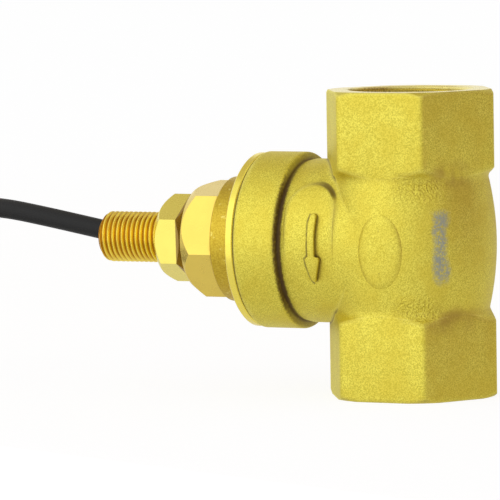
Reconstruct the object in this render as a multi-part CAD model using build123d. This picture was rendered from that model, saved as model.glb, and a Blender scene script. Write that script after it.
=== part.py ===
from build123d import *
import os
from math import cos, radians, sin, tan

# Water flow switch: a lift piston in a globe-pattern brass body moves a magnet towards a reed
# switch in a screwed-in sensor tube. Sizes are in millimetres.
# The origin is the centre of the outlet mouth, and +Z runs up the pipe axis to the inlet.
# The branch with the bonnet and the sensor points along -X. In the names and comments below,
# "out" is a distance from the pipe axis along the branch.

# Clearances and fits
THREAD_CLEARANCE = 0.05
RUNNING_CLEARANCE = 0.06
CHAMFER = 0.3

# Valve body
PORT_THREAD_RADIUS = 15.145
PORT_THREAD_LENGTH = 17.0
PORT_COUNTERSINK = 0.5
PORT_WALL = 4.855
PORT_FACE_LAND = 1.2
PORT_HEX_MARGIN = 2.6
PORT_HEX_EDGE_RADIUS = 1.2
PORT_CHAMFER_ANGLE = 30.0
SHOULDER_LENGTH = 2.0
SHOULDER_EDGE_RADIUS = 0.5
SHOULDER_ROOT_RADIUS = 1.5
BARREL_INSET = 0.35
BARREL_BULGE = 2.1
CAST_WALL = 3.1
COLLAR_OUT = 28.3
COLLAR_LENGTH = 11.3
COLLAR_WALL = 5.2
COLLAR_STEP = 1.7
COLLAR_EDGE_RADIUS = 1.0
NECK_GROOVE_DEPTH = 0.5
NECK_GROOVE_LENGTH = 2.4
ARROW_PAD_OUT = 19.4
ARROW_PAD_WIDTH = 13.2
ARROW_PAD_HEIGHT = 31.2
ARROW_PAD_RISE = 0.25
ARROW_PAD_SLOPE = 1.2

# Partition, seat and the bores of the branch
PARTITION_THICKNESS = 3.0
PARTITION_CORNER_RADIUS = 2.0
SEAT_BORE_RADIUS = 9.0
SEAT_RING_WIDTH = 2.8
SEAT_RISE = 2.0
CHAMBER_ROOM = 1.5
WEB_MARGIN = 0.2
NECK_CORE_OUT = 18.5
NECK_CORE_STEP = 1.0
BONNET_THREAD_DEPTH = 12.6

# Bonnet and its gasket
GASKET_THICKNESS = 0.4
GASKET_SETBACK = 0.4
PLUG_LENGTH = 11.0
PLUG_WALL = 4.3
PLUG_RELIEF_LENGTH = 1.4
PLUG_RELIEF_DEPTH = 0.9
FLANGE_SETBACK = 0.3
FLANGE_THICKNESS = 2.1
BAND_RADIUS = 16.1
BAND_LENGTH = 7.2
BONNET_ACROSS_FLATS = 27.0
BONNET_HEX_LENGTH = 9.6
BONNET_HEX_CORNER_ANGLE = 48.7
BONNET_HEX_FACE_RADIUS = 13.26
BONNET_HEX_CHAMFER_ANGLE = 55.4
NUT_SEAT_RADIUS = 8.5
NUT_SEAT_LENGTH = 1.7
CUP_DEPTH = 9.0
GUIDE_WALL = 3.2
GUIDE_DEPTH = 17.5
WELL_WALL = 2.0

# Flow piston and what it carries
STROKE = 7.0
STOP_GAP = 0.1
STEM_WALL = 2.0
STEM_END_GAP = 1.0
DISC_LIP = 0.2
DISC_THICKNESS = 3.5
HUB_STEP = 2.6
SEAL_MARGIN = 0.5
SEAL_THICKNESS = 2.5
SEAL_WASHER_RADIUS = 7.0
SEAL_WASHER_THICKNESS = 1.0
SCREW_RADIUS = 2.0
SCREW_LENGTH = 12.0
SCREW_TIP_GAP = 1.0
SCREW_HEAD_RADIUS = 3.5
SCREW_HEAD_HEIGHT = 2.4
SCREW_SOCKET_ACROSS_FLATS = 2.5
SCREW_SOCKET_DEPTH = 1.4
MAGNET_RADIUS = 4.0
MAGNET_LENGTH = 9.0
MAGNET_PLUG_LENGTH = 1.5
MAGNET_FIT = 0.02

# Return spring
SPRING_WIRE_RADIUS = 0.55
SPRING_ROOM = 4.0
SPRING_TURNS = 6.5

# Sensor tube and lock nut
TUBE_RADIUS = 6.5785
TUBE_LENGTH = 37.0
TUBE_NOSE_GAP = 0.5
TUBE_NOSE_WALL = 1.2
TUBE_NOSE_CHAMFER = 0.8
TUBE_BORE_RADIUS = 4.6
TUBE_MOUTH_RADIUS = 5.4
TUBE_MOUTH_CHAMFER = 1.2
POTTING_RECESS = 1.4
NUT_ACROSS_FLATS = 19.8
NUT_THICKNESS = 7.3
NUT_CORNER_ANGLE = 28.1
NUT_INNER_FACE_RADIUS = 9.4
NUT_INNER_CHAMFER_ANGLE = 29.0
NUT_OUTER_FACE_RADIUS = 9.7
NUT_OUTER_CHAMFER_ANGLE = 44.0

# Reed switch, its leads and the cores that join them
REED_LENGTH = 14.0
REED_RADIUS = 1.1
REED_WALL = 0.3
REED_SEAL_LENGTH = 1.5
REED_START_GAP = 3.0
REED_LIFT = 1.2
BLADE_WIDTH = 1.0
BLADE_THICKNESS = 0.2
BLADE_OVERLAP = 2.0
CONTACT_GAP = 0.15
LEAD_RADIUS = 0.3
LEAD_TURN = 2.3
LEAD_LENGTH = 4.8
LEAD_BEND_RADIUS = 0.7
RETURN_DROP = 1.5
SLEEVE_RADIUS = 0.55
SLEEVE_LENGTH = 14.5
CORE_RADIUS = 0.65
CORE_SPACING = 1.5

# Cable, its put-away turns and its far end
CABLE_RADIUS = 2.6
COIL_LANES = 2
COIL_FAR_OUT = 210.0
COIL_NEAR_OUT = 166.0
COIL_EDGE_RADIUS = 2.2
FERRULE_RADIUS = 0.7
FERRULE_LENGTH = 8.0
FERRULE_COLLAR_RADIUS = 1.3
FERRULE_COLLAR_LENGTH = 5.0

# Radii that follow from the sizes above: outwards from the magnet, from the seat and from the port
STEM_RADIUS = MAGNET_RADIUS + STEM_WALL
HUB_RADIUS = STEM_RADIUS + HUB_STEP
GUIDE_BOSS_RADIUS = STEM_RADIUS + GUIDE_WALL
SPRING_MEAN_RADIUS = GUIDE_BOSS_RADIUS + SPRING_ROOM / 2
CUP_RADIUS = GUIDE_BOSS_RADIUS + SPRING_ROOM
BONNET_THREAD_RADIUS = CUP_RADIUS + PLUG_WALL
PLUG_RADIUS = BONNET_THREAD_RADIUS - THREAD_CLEARANCE
NECK_CORE_RADIUS = BONNET_THREAD_RADIUS - NECK_CORE_STEP
COLLAR_RADIUS = BONNET_THREAD_RADIUS + COLLAR_WALL
NECK_RADIUS = COLLAR_RADIUS - COLLAR_STEP
FLANGE_RADIUS = COLLAR_RADIUS - FLANGE_SETBACK
GASKET_RADIUS = FLANGE_RADIUS - GASKET_SETBACK
SEAT_RING_RADIUS = SEAT_BORE_RADIUS + SEAT_RING_WIDTH
SEAL_RADIUS = SEAT_RING_RADIUS + SEAL_MARGIN
DISC_RADIUS = SEAL_RADIUS + DISC_LIP
PISTON_CHAMBER_RADIUS = DISC_RADIUS + CHAMBER_ROOM
PORT_ACROSS_FLATS = 2 * (PORT_THREAD_RADIUS + PORT_WALL)
PORT_FACE_RADIUS = PORT_ACROSS_FLATS / 2 + PORT_FACE_LAND
BARREL_END_RADIUS = PORT_ACROSS_FLATS / 2 - BARREL_INSET
BARREL_MIDDLE_RADIUS = BARREL_END_RADIUS + BARREL_BULGE

# Places that follow from the sizes above
PORT_HEX_LENGTH = PORT_THREAD_LENGTH + PORT_HEX_MARGIN
BARREL_HALF_HEIGHT = PISTON_CHAMBER_RADIUS + 2 * WEB_MARGIN + PARTITION_THICKNESS
AXIS_HEIGHT = BARREL_HALF_HEIGHT + SHOULDER_LENGTH + PORT_HEX_LENGTH
BODY_LENGTH = 2 * AXIS_HEIGHT
COLLAR_FACE = COLLAR_OUT + COLLAR_LENGTH
BONNET_SEAT = COLLAR_FACE + GASKET_THICKNESS
PLUG_END = BONNET_SEAT - PLUG_LENGTH
CUP_FLOOR = PLUG_END + CUP_DEPTH
GUIDE_FLOOR = PLUG_END + GUIDE_DEPTH
WELL_FLOOR = GUIDE_FLOOR + WELL_WALL
BAND_OUT = BONNET_SEAT + FLANGE_THICKNESS
BONNET_HEX_OUT = BAND_OUT + BAND_LENGTH
NUT_SEAT_OUT = BONNET_HEX_OUT + BONNET_HEX_LENGTH
NUT_OUT = NUT_SEAT_OUT + NUT_SEAT_LENGTH
DISC_FRONT = SEAT_RISE + SEAL_THICKNESS
DISC_BACK = DISC_FRONT + DISC_THICKNESS
HUB_END = PLUG_END - STROKE - STOP_GAP
STEM_END = GUIDE_FLOOR - STROKE - STEM_END_GAP
MAGNET_END = STEM_END - MAGNET_PLUG_LENGTH
MAGNET_START = MAGNET_END - MAGNET_LENGTH
WASHER_FRONT = SEAT_RISE - SEAL_WASHER_THICKNESS
TUBE_START = WELL_FLOOR + TUBE_NOSE_GAP
TUBE_END = TUBE_START + TUBE_LENGTH
POTTING_START = TUBE_START + TUBE_NOSE_WALL
POTTING_END = TUBE_END - POTTING_RECESS
REED_START = POTTING_START + REED_START_GAP
REED_END = REED_START + REED_LENGTH
LEAD_END = REED_END + LEAD_LENGTH

BRANCH_AXIS = Axis((0, 0, AXIS_HEIGHT), (-1, 0, 0))

# The cable's points, from inside the potting to where it meets the put-away turns on the floor
CABLE_ROUTE = [
    (-TUBE_END + 12.0, 0.0, AXIS_HEIGHT - 0.9),
    (-TUBE_END - 3.0, 0.5, AXIS_HEIGHT + 1.9),
    (-TUBE_END - 18.0, 1.4, AXIS_HEIGHT + 4.6),
    (-TUBE_END - 33.0, 3.0, AXIS_HEIGHT + 6.9),
    (-TUBE_END - 48.0, 5.8, AXIS_HEIGHT + 6.8),
    (-148.6, 9.4, AXIS_HEIGHT + 1.2),
    (-160.2, 13.0, 29.8),
    (-170.0, 16.0, 18.2),
    (-180.5, 18.8, 8.8),
    (-191.5, 20.5, 4.0),
    (-201.5, 20.8, CABLE_RADIUS),
    (-COIL_FAR_OUT, 20.8, CABLE_RADIUS),
]

# The stripped cores' points: past the jacket's end, inwards from the inner turn, height, half apart
TAIL_POINTS = [
    (0.0, 0.0, CABLE_RADIUS, CORE_SPACING / 2),
    (5.0, 0.0, CABLE_RADIUS, CORE_SPACING / 2),
    (11.0, 2.6, 1.6, 1.75),
    (18.0, 6.5, FERRULE_COLLAR_RADIUS, 2.1),
]


def turned(*outline):
    """A solid turned about the branch axis. Each point of its outline is (out, radius)."""
    points = [(-out, 0, AXIS_HEIGHT + radius) for out, radius in outline]
    return revolve(make_face(Polyline(*points, close=True)), BRANCH_AXIS)


def rod(start, end, radius):
    return turned((start, 0), (end, 0), (end, radius), (start, radius))


def hollow_rod(start, end, inner_radius, radius):
    return turned((start, inner_radius), (end, inner_radius), (end, radius), (start, radius))


def chamfered_rod(start, end, radius, size):
    """A rod on the branch axis with both of its end edges broken."""
    return turned((start, 0), (end, 0), (end, radius - size), (end - size, radius),
                  (start + size, radius), (start, radius - size))


def wire(start, end, radius, lift):
    """A straight round wire beside the branch axis, lifted above it."""
    plane = Plane(origin=(-start, 0, AXIS_HEIGHT + lift), z_dir=(-1, 0, 0))
    return extrude(plane * Circle(radius), end - start)


def hexagon(across_flats, start, end, corner_angle):
    """A hexagonal prism on the branch axis. Its corner is turned from the front towards the top."""
    turn = radians(corner_angle)
    plane = Plane(origin=(-start, 0, AXIS_HEIGHT), x_dir=(0, -cos(turn), sin(turn)), z_dir=(-1, 0, 0))
    return extrude(plane * RegularPolygon(across_flats / 2, 6, major_radius=False), end - start)


def corner_radius(across_flats):
    return across_flats / 2 / cos(radians(30))


def chamfer_drop(across_flats, face_radius, angle):
    """How far a chamfer that leaves a round end face reaches down a hexagon's corners."""
    return (corner_radius(across_flats) - face_radius) * tan(radians(angle))


def bend_radii(points):
    """The radius at each inner point of a route: as large as the two runs beside it allow."""
    radii = []
    for before, corner, after in zip(points, points[1:], points[2:]):
        run_in, run_out = Vector(*corner) - Vector(*before), Vector(*after) - Vector(*corner)
        half_turn = radians(run_in.get_angle(run_out)) / 2
        radii.append(0.45 * min(run_in.length, run_out.length) / tan(half_turn))
    return radii


def tube(points, radius, bends):
    """A round bar along straight runs joined by tangent arcs."""
    path = FilletPolyline(*points, radius=bends)
    return sweep(Plane(origin=path @ 0, z_dir=path % 0) * Circle(radius), path=path)


def barrel_side(end_radius, middle_radius):
    """The bulged side of the barrel about the pipe axis, from the lower shoulder to the upper one."""
    low, high = AXIS_HEIGHT - BARREL_HALF_HEIGHT, AXIS_HEIGHT + BARREL_HALF_HEIGHT
    return ThreePointArc((end_radius, 0, low), (middle_radius, 0, AXIS_HEIGHT), (end_radius, 0, high))


def barrel_cavity(end_radius, middle_radius):
    side = barrel_side(end_radius, middle_radius)
    low, high = (side @ 0).Z, (side @ 1).Z
    back = Polyline((end_radius, 0, high), (0, 0, high), (0, 0, low), (end_radius, 0, low))
    return revolve(make_face([side, *back.edges()]), Axis.Z)


def pipe_rod(low, high, radius):
    return extrude(Plane(origin=(0, 0, low)) * Circle(radius), high - low)


def turned_run():
    """The barrel, the sloping shoulders and the chamfered ends, all turned about the pipe axis."""
    shoulder = AXIS_HEIGHT - BARREL_HALF_HEIGHT
    corner = corner_radius(PORT_ACROSS_FLATS)
    drop = chamfer_drop(PORT_ACROSS_FLATS, PORT_FACE_RADIUS, PORT_CHAMFER_ANGLE)
    end = [(BARREL_END_RADIUS, shoulder), (corner, PORT_HEX_LENGTH), (corner, drop),
           (PORT_FACE_RADIUS, 0), (0, 0)]
    other_end = [(radius, BODY_LENGTH - height) for radius, height in reversed(end)]
    rest = Polyline(*[(radius, 0, height) for radius, height in end + other_end])
    face = make_face([barrel_side(BARREL_END_RADIUS, BARREL_MIDDLE_RADIUS), *rest.edges()])
    roots = [v for v in face.vertices() if abs(v.X - BARREL_END_RADIUS) < CHAMFER]
    return revolve(fillet(roots, SHOULDER_ROOT_RADIUS), Axis.Z)


def barrel_and_hexagons():
    """The turned run cut to the two hexagons, with their corners and shoulders softened."""
    shoulder = AXIS_HEIGHT - BARREL_HALF_HEIGHT
    prism = extrude(RegularPolygon(PORT_ACROSS_FLATS / 2, 6, major_radius=False), shoulder)
    prism = fillet(prism.edges().filter_by(Axis.Z), PORT_HEX_EDGE_RADIUS)
    keep = prism + mirror(prism, about=Plane(origin=(0, 0, AXIS_HEIGHT)))
    keep += pipe_rod(shoulder, BODY_LENGTH - shoulder, corner_radius(PORT_ACROSS_FLATS))
    blank = turned_run() & keep
    reach = BARREL_HALF_HEIGHT + SHOULDER_LENGTH + CHAMFER
    edges = [e for e in blank.edges() if e.geom_type in (GeomType.HYPERBOLA, GeomType.BSPLINE)
             and abs(e.center().Z - AXIS_HEIGHT) < reach]
    return fillet(edges, SHOULDER_EDGE_RADIUS)


def neck_and_collar():
    """The round neck of the branch, an undercut behind the collar, and the collar."""
    blank = turned((0, 0), (COLLAR_FACE, 0), (COLLAR_FACE, COLLAR_RADIUS - CHAMFER),
                   (COLLAR_FACE - CHAMFER, COLLAR_RADIUS), (COLLAR_OUT, COLLAR_RADIUS),
                   (COLLAR_OUT, NECK_RADIUS - NECK_GROOVE_DEPTH),
                   (COLLAR_OUT - NECK_GROOVE_LENGTH, NECK_RADIUS), (0, NECK_RADIUS))
    circles = blank.edges().filter_by(GeomType.CIRCLE)
    shoulder = [e for e in circles if abs(e.radius - COLLAR_RADIUS) < 0.01
                and abs(e.center().X + COLLAR_OUT) < 0.01]
    return fillet(shoulder, COLLAR_EDGE_RADIUS)


def arrow_pad():
    """The arched pad on the front of the neck: it stands proud at its top and runs out downwards."""
    plane = Plane(origin=(-ARROW_PAD_OUT, 0, AXIS_HEIGHT), x_dir=(0, 0, 1), z_dir=(0, -1, 0))
    outline = plane * SlotOverall(ARROW_PAD_HEIGHT, ARROW_PAD_WIDTH)
    raised = Pos(0, 0, ARROW_PAD_SLOPE) * rod(0, COLLAR_OUT, NECK_RADIUS + ARROW_PAD_RISE)
    return extrude(outline, COLLAR_RADIUS) & raised


def partition():
    """The S-shaped wall: an upper web towards the branch, the seat plate, and a lower web behind it."""
    reach = BARREL_MIDDLE_RADIUS
    plate = PARTITION_THICKNESS
    inner = PISTON_CHAMBER_RADIUS + WEB_MARGIN
    outer = inner + plate
    outline = [(-reach, outer), (plate, outer), (plate, -inner), (reach, -inner),
               (reach, -outer), (0, -outer), (0, inner), (-reach, inner)]
    face = make_face(Polyline(*[(x, 0, AXIS_HEIGHT + z) for x, z in outline], close=True))
    corners = [v for v in face.vertices() if abs(v.X) < reach - plate]
    return extrude(fillet(corners, PARTITION_CORNER_RADIUS), reach, both=True)


def flow_passage():
    """All that is hollow in the valve body: ports, cavity round the partition, seat and branch bores."""
    low, high = PORT_THREAD_LENGTH, BODY_LENGTH - PORT_THREAD_LENGTH
    cavity_end = BARREL_END_RADIUS - CAST_WALL
    hollow = barrel_cavity(cavity_end, BARREL_MIDDLE_RADIUS - CAST_WALL) + pipe_rod(low, high, cavity_end)
    hollow -= partition()
    thread_out = COLLAR_FACE - BONNET_THREAD_DEPTH
    hollow += rod(0, NECK_CORE_OUT, PISTON_CHAMBER_RADIUS)
    hollow += rod(NECK_CORE_OUT, thread_out, NECK_CORE_RADIUS)
    hollow += rod(thread_out, COLLAR_FACE, BONNET_THREAD_RADIUS)
    hollow -= rod(0, SEAT_RISE, SEAT_RING_RADIUS)
    hollow += rod(-PARTITION_THICKNESS, SEAT_RISE, SEAT_BORE_RADIUS)
    for mouth, inner, way in ((0, low, 1), (BODY_LENGTH, high, -1)):
        hollow += pipe_rod(min(mouth, inner), max(mouth, inner), PORT_THREAD_RADIUS)
        lead_in = PORT_THREAD_RADIUS + PORT_COUNTERSINK
        cone = Polyline((0, 0, mouth), (lead_in, 0, mouth), (0, 0, mouth + way * lead_in), close=True)
        hollow += revolve(make_face(cone), Axis.Z)
    return hollow


def make_valve_body():
    return barrel_and_hexagons() + neck_and_collar() + arrow_pad() - flow_passage()


def make_bonnet():
    """The screwed plug with its spring cup and guide, the flange, the cast band and the hexagon."""
    relief = PLUG_RADIUS - PLUG_RELIEF_DEPTH
    relief_out = BONNET_SEAT - PLUG_RELIEF_LENGTH
    band = BAND_RADIUS
    blank = turned((PLUG_END, 0), (NUT_OUT, 0), (NUT_OUT, NUT_SEAT_RADIUS), (NUT_SEAT_OUT, NUT_SEAT_RADIUS),
                   (BONNET_HEX_OUT, NUT_SEAT_RADIUS), (BONNET_HEX_OUT, band - CHAMFER),
                   (BONNET_HEX_OUT - CHAMFER, band), (BAND_OUT, band), (BAND_OUT, FLANGE_RADIUS - CHAMFER),
                   (BAND_OUT - CHAMFER, FLANGE_RADIUS), (BONNET_SEAT + CHAMFER, FLANGE_RADIUS),
                   (BONNET_SEAT, FLANGE_RADIUS - CHAMFER), (BONNET_SEAT, relief), (relief_out, relief),
                   (relief_out, PLUG_RADIUS), (PLUG_END + PLUG_RELIEF_DEPTH, PLUG_RADIUS), (PLUG_END, relief))
    drop = chamfer_drop(BONNET_ACROSS_FLATS, BONNET_HEX_FACE_RADIUS, BONNET_HEX_CHAMFER_ANGLE)
    corner = corner_radius(BONNET_ACROSS_FLATS)
    envelope = turned((BONNET_HEX_OUT, 0), (NUT_SEAT_OUT, 0), (NUT_SEAT_OUT, BONNET_HEX_FACE_RADIUS),
                      (NUT_SEAT_OUT - drop, corner), (BONNET_HEX_OUT, corner))
    grip = hexagon(BONNET_ACROSS_FLATS, BONNET_HEX_OUT, NUT_SEAT_OUT, BONNET_HEX_CORNER_ANGLE) & envelope
    cup = hollow_rod(PLUG_END, CUP_FLOOR, GUIDE_BOSS_RADIUS, CUP_RADIUS)
    guide = rod(PLUG_END, GUIDE_FLOOR, STEM_RADIUS + RUNNING_CLEARANCE)
    well = rod(WELL_FLOOR, NUT_OUT, TUBE_RADIUS + THREAD_CLEARANCE)
    return blank + grip - cup - guide - well


def make_bonnet_gasket():
    return hollow_rod(COLLAR_FACE, BONNET_SEAT, BONNET_THREAD_RADIUS, GASKET_RADIUS)


def make_flow_piston():
    """The disc, the hub that stops against the guide, and the stem with its magnet pocket."""
    blank = turned((DISC_FRONT, 0), (STEM_END, 0), (STEM_END, STEM_RADIUS - CHAMFER),
                   (STEM_END - CHAMFER, STEM_RADIUS), (HUB_END, STEM_RADIUS), (HUB_END, HUB_RADIUS - CHAMFER),
                   (HUB_END - CHAMFER, HUB_RADIUS), (DISC_BACK, HUB_RADIUS), (DISC_BACK, DISC_RADIUS - CHAMFER),
                   (DISC_BACK - CHAMFER, DISC_RADIUS), (DISC_FRONT, DISC_RADIUS))
    pocket = rod(MAGNET_START, STEM_END, MAGNET_RADIUS + MAGNET_FIT)
    screw_hole = rod(DISC_FRONT, WASHER_FRONT + SCREW_LENGTH + SCREW_TIP_GAP, SCREW_RADIUS)
    return blank - pocket - screw_hole


def make_piston_seal():
    return hollow_rod(SEAT_RISE, DISC_FRONT, SCREW_RADIUS + THREAD_CLEARANCE, SEAL_RADIUS)


def make_seal_washer():
    bore = SCREW_RADIUS + THREAD_CLEARANCE
    return turned((WASHER_FRONT, bore), (SEAT_RISE, bore), (SEAT_RISE, SEAL_WASHER_RADIUS),
                  (WASHER_FRONT + CHAMFER, SEAL_WASHER_RADIUS), (WASHER_FRONT, SEAL_WASHER_RADIUS - CHAMFER))


def make_seal_screw():
    head_front = WASHER_FRONT - SCREW_HEAD_HEIGHT
    head = turned((head_front, 0), (WASHER_FRONT, 0), (WASHER_FRONT, SCREW_HEAD_RADIUS),
                  (head_front + CHAMFER, SCREW_HEAD_RADIUS), (head_front, SCREW_HEAD_RADIUS - CHAMFER))
    shank = rod(WASHER_FRONT, WASHER_FRONT + SCREW_LENGTH, SCREW_RADIUS - MAGNET_FIT)
    socket = hexagon(SCREW_SOCKET_ACROSS_FLATS, head_front, head_front + SCREW_SOCKET_DEPTH, 0)
    return head + shank - socket


def make_return_spring():
    """A helical spring with both ends ground flat on the disc and in the bonnet's cup."""
    length = CUP_FLOOR - DISC_BACK
    line = Helix(length / SPRING_TURNS, length, SPRING_MEAN_RADIUS,
                 center=(-DISC_BACK, 0, AXIS_HEIGHT), direction=(-1, 0, 0))
    coil = sweep(Plane(origin=line @ 0, z_dir=line % 0) * Circle(SPRING_WIRE_RADIUS), path=line)
    return coil & rod(DISC_BACK, CUP_FLOOR, CUP_RADIUS)


def make_sensor_tube():
    mouth = TUBE_END - TUBE_MOUTH_CHAMFER
    blank = turned((TUBE_START, 0), (TUBE_END, 0), (TUBE_END, TUBE_MOUTH_RADIUS), (mouth, TUBE_RADIUS),
                   (TUBE_START + TUBE_NOSE_CHAMFER, TUBE_RADIUS), (TUBE_START, TUBE_RADIUS - TUBE_NOSE_CHAMFER))
    return blank - rod(POTTING_START, TUBE_END, TUBE_BORE_RADIUS)


def make_lock_nut():
    corner = corner_radius(NUT_ACROSS_FLATS)
    end = NUT_OUT + NUT_THICKNESS
    inner_drop = chamfer_drop(NUT_ACROSS_FLATS, NUT_INNER_FACE_RADIUS, NUT_INNER_CHAMFER_ANGLE)
    outer_drop = chamfer_drop(NUT_ACROSS_FLATS, NUT_OUTER_FACE_RADIUS, NUT_OUTER_CHAMFER_ANGLE)
    envelope = turned((NUT_OUT, 0), (end, 0), (end, NUT_OUTER_FACE_RADIUS), (end - outer_drop, corner),
                      (NUT_OUT + inner_drop, corner), (NUT_OUT, NUT_INNER_FACE_RADIUS))
    blank = hexagon(NUT_ACROSS_FLATS, NUT_OUT, end, NUT_CORNER_ANGLE) & envelope
    return blank - rod(NUT_OUT, end, TUBE_RADIUS + THREAD_CLEARANCE)


def reed_leads():
    """The straight lead towards the cable, and the lead that turns back beside the glass."""
    straight = wire(REED_END - REED_SEAL_LENGTH, LEAD_END, LEAD_RADIUS, REED_LIFT)
    height, back = AXIS_HEIGHT + REED_LIFT, AXIS_HEIGHT - RETURN_DROP
    turn = REED_START - LEAD_TURN
    route = [(-REED_START - REED_SEAL_LENGTH, 0, height), (-turn, 0, height),
             (-turn, 0, back), (-LEAD_END, 0, back)]
    return straight, tube(route, LEAD_RADIUS, LEAD_BEND_RADIUS)


def blade(start, end, lift):
    plane = Plane(origin=(-start, 0, AXIS_HEIGHT + REED_LIFT + lift), x_dir=(0, 1, 0), z_dir=(-1, 0, 0))
    return extrude(plane * Rectangle(BLADE_WIDTH, BLADE_THICKNESS), end - start)


def make_reed():
    """The glass and the two blades, each in one piece with its lead."""
    straight, turned_back = reed_leads()
    glass = wire(REED_START, REED_END, REED_RADIUS, REED_LIFT)
    glass = fillet(glass.edges(), REED_RADIUS / 2)
    glass -= wire(REED_START + REED_SEAL_LENGTH, REED_END - REED_SEAL_LENGTH, REED_RADIUS - REED_WALL, REED_LIFT)
    middle = (REED_START + REED_END) / 2
    off = (BLADE_THICKNESS + CONTACT_GAP) / 2
    near = blade(middle - BLADE_OVERLAP / 2, REED_END - REED_SEAL_LENGTH, off)
    far = blade(REED_START + REED_SEAL_LENGTH, middle + BLADE_OVERLAP / 2, -off)
    return glass - straight - turned_back, straight + near, turned_back + far


def make_lead_sleeve():
    outer = wire(REED_START, REED_START + SLEEVE_LENGTH, SLEEVE_RADIUS, -RETURN_DROP)
    return outer - wire(REED_START, REED_START + SLEEVE_LENGTH, LEAD_RADIUS, -RETURN_DROP)


def make_cable():
    return tube(CABLE_ROUTE, CABLE_RADIUS, bend_radii(CABLE_ROUTE))


def make_core(side, lead_lift):
    """A core from the cable's inner end to the end of a reed lead."""
    start, along = Vector(*CABLE_ROUTE[0]), (Vector(*CABLE_ROUTE[0]) - Vector(*CABLE_ROUTE[1])).normalized()
    across = Vector(-along.Z, 0, along.X).normalized()
    first = start + across * (side * CORE_SPACING / 2)
    last = Vector(-LEAD_END, 0, AXIS_HEIGHT + lead_lift)
    step = (last - first).length / 4
    route = [tuple(p) for p in (first, first + along * step, last + Vector(-step, 0, 0), last)]
    return tube(route, CORE_RADIUS, bend_radii(route))


def coil_width():
    """Half the width of the put-away turns, outside and inside."""
    outer = CABLE_ROUTE[-1][1] + CABLE_RADIUS
    return outer, outer - 2 * CABLE_RADIUS * COIL_LANES


def make_cable_coil():
    """The outer shape of the put-away turns: an oblong ring, open where the cable comes down."""
    outer, inner = coil_width()
    middle = -(COIL_FAR_OUT + COIL_NEAR_OUT) / 2
    straight = COIL_FAR_OUT - COIL_NEAR_OUT
    height = 2 * CABLE_RADIUS
    place = Pos(middle, 0, 0)
    outline = SlotOverall(straight + 2 * outer, 2 * outer) - SlotOverall(straight + 2 * inner, 2 * inner)
    ring = extrude(place * outline, height)
    gap = Pos(middle, outer, height / 2) * Box(straight, 2 * outer, height)
    long_edges = [e for e in ring.edges() if abs(e.center().Z - height / 2) > CABLE_RADIUS / 2]
    return fillet(long_edges, COIL_EDGE_RADIUS) - gap


def tail_route(side):
    """A stripped core's way from the end of the jacket into the middle of the turns."""
    lane = CABLE_ROUTE[-1][1] - 2 * CABLE_RADIUS * (COIL_LANES - 1)
    return [(-COIL_NEAR_OUT - past, lane - inwards + side * apart, height)
            for past, inwards, height, apart in TAIL_POINTS]


def make_tail(side):
    """A stripped core at the far end and the crimped ferrule on it."""
    route = tail_route(side)
    core = tube(route, CORE_RADIUS, bend_radii(route))
    end, before = Vector(*route[-1]), Vector(*route[-2])
    along = Vector(end.X - before.X, end.Y - before.Y, 0).normalized()
    plane = Plane(origin=end - along * FERRULE_COLLAR_LENGTH * 0.6, z_dir=along)
    collar = extrude(plane * Circle(FERRULE_COLLAR_RADIUS), FERRULE_COLLAR_LENGTH)
    barrel_plane = plane.offset(FERRULE_COLLAR_LENGTH)
    ferrule = collar + extrude(barrel_plane * Circle(FERRULE_RADIUS), FERRULE_LENGTH)
    return core, ferrule - core


def make_potting(*held):
    """The resin that fills the tube round the reed switch, the leads, the cores and the cable."""
    resin = rod(POTTING_START, POTTING_END, TUBE_BORE_RADIUS)
    for piece in held:
        resin -= piece
    return resin


def build():
    glass, reed_near, reed_far = make_reed()
    sleeve, cable = make_lead_sleeve(), make_cable()
    core_brown, core_blue = make_core(1, REED_LIFT), make_core(-1, -RETURN_DROP)
    tail_brown, ferrule_brown = make_tail(1)
    tail_blue, ferrule_blue = make_tail(-1)
    filled_glass = fillet(wire(REED_START, REED_END, REED_RADIUS, REED_LIFT).edges(), REED_RADIUS / 2)
    held = (filled_glass, reed_near, reed_far, sleeve, core_brown, core_blue, cable)
    return {
        "valve_body": make_valve_body(),
        "bonnet": make_bonnet(),
        "bonnet_gasket": make_bonnet_gasket(),
        "flow_piston": make_flow_piston(),
        "piston_seal": make_piston_seal(),
        "seal_washer": make_seal_washer(),
        "seal_screw": make_seal_screw(),
        "magnet": chamfered_rod(MAGNET_START, MAGNET_END, MAGNET_RADIUS, CHAMFER),
        "magnet_plug": rod(MAGNET_END, STEM_END, MAGNET_RADIUS + MAGNET_FIT),
        "return_spring": make_return_spring(),
        "sensor_tube": make_sensor_tube(),
        "lock_nut": make_lock_nut(),
        "reed_glass": glass,
        "reed_blade_near": reed_near,
        "reed_blade_far": reed_far,
        "lead_sleeve": sleeve,
        "core_brown": core_brown,
        "core_blue": core_blue,
        "potting": make_potting(*held),
        "cable": cable,
        "cable_coil": make_cable_coil(),
        "tail_core_brown": tail_brown,
        "tail_core_blue": tail_blue,
        "ferrule_brown": ferrule_brown,
        "ferrule_blue": ferrule_blue,
    }


os.makedirs("parts", exist_ok=True)
for node, shape in build().items():
    export_step(shape, f"parts/{node}.step")
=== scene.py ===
from functools import reduce
from math import atan2, cos, pi, radians, sin, sqrt, tan

import bpy
from mathutils import Matrix, Vector


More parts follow.
